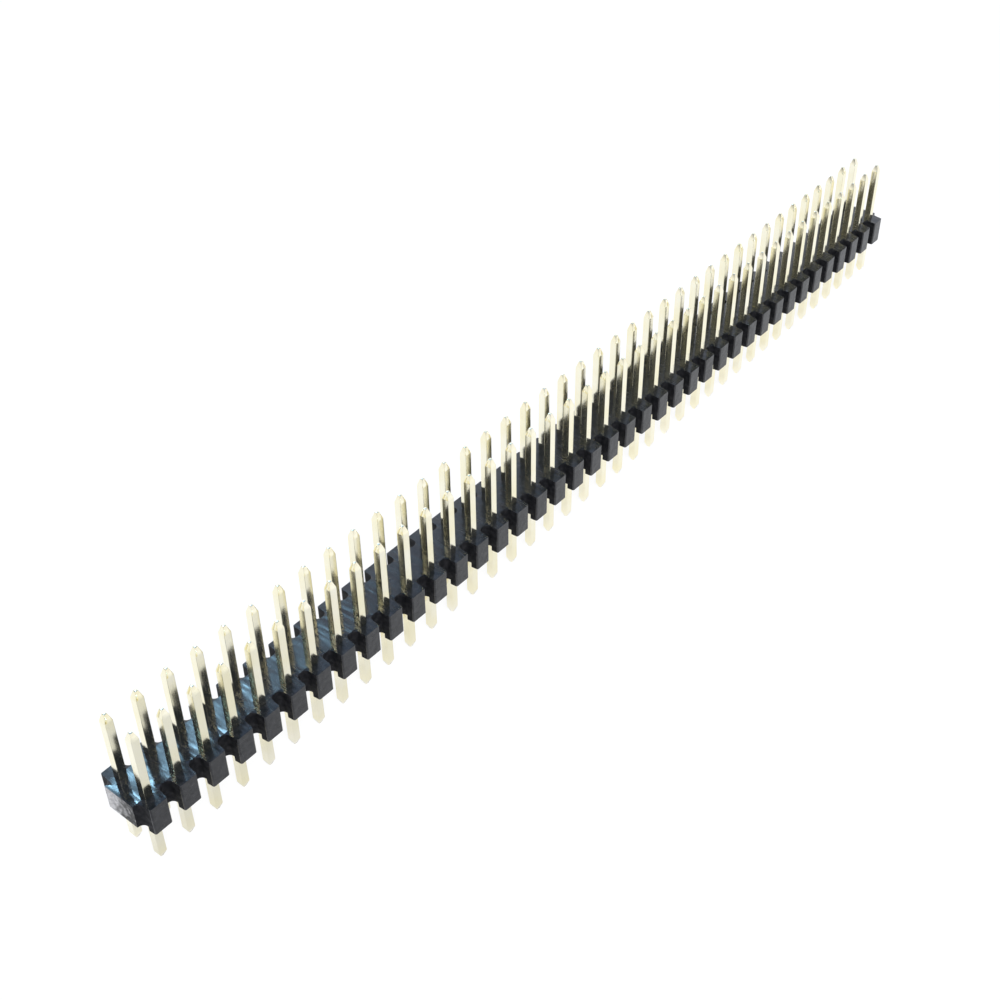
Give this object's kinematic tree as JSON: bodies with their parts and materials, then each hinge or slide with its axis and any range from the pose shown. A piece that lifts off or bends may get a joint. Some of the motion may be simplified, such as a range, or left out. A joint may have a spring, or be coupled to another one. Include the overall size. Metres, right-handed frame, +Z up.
{
  "type": "pin header strip",
  "caption": "Straight double-row pin header strip: square pins with pointed ends through a slim break-away body that is notched between positions and stands off the board on small feet.",
  "frame": {"origin": "Centre of the bounding box in plan, at the level of the tail tips, midway along the strip and midway between the two rows.", "axes": "+X along the strip, +Y across the two rows, +Z up from the tail tips to the tips of the mating pins."},
  "size_m": [0.1016, 0.005, 0.0123],
  "materials": {
    "body_plastic": "Black glass-filled moulding plastic, satin, with a faint sheen on the flat top.",
    "pin_metal": "Drawn square brass wire with a thin pale gold plating, polished."
  },
  "bodies": {
    "root": {"body": "body_plastic", "pin_pair_01": "pin_metal", "pin_pair_02": "pin_metal", "pin_pair_03": "pin_metal", "pin_pair_04": "pin_metal", "pin_pair_05": "pin_metal", "pin_pair_06": "pin_metal", "pin_pair_07": "pin_metal", "pin_pair_08": "pin_metal", "pin_pair_09": "pin_metal", "pin_pair_10": "pin_metal", "pin_pair_11": "pin_metal", "pin_pair_12": "pin_metal", "pin_pair_13": "pin_metal", "pin_pair_14": "pin_metal", "pin_pair_15": "pin_metal", "pin_pair_16": "pin_metal", "pin_pair_17": "pin_metal", "pin_pair_18": "pin_metal", "pin_pair_19": "pin_metal", "pin_pair_20": "pin_metal", "pin_pair_21": "pin_metal", "pin_pair_22": "pin_metal", "pin_pair_23": "pin_metal", "pin_pair_24": "pin_metal", "pin_pair_25": "pin_metal", "pin_pair_26": "pin_metal", "pin_pair_27": "pin_metal", "pin_pair_28": "pin_metal", "pin_pair_29": "pin_metal", "pin_pair_30": "pin_metal", "pin_pair_31": "pin_metal", "pin_pair_32": "pin_metal", "pin_pair_33": "pin_metal", "pin_pair_34": "pin_metal", "pin_pair_35": "pin_metal", "pin_pair_36": "pin_metal", "pin_pair_37": "pin_metal", "pin_pair_38": "pin_metal", "pin_pair_39": "pin_metal", "pin_pair_40": "pin_metal"}
  },
  "joints": []
}
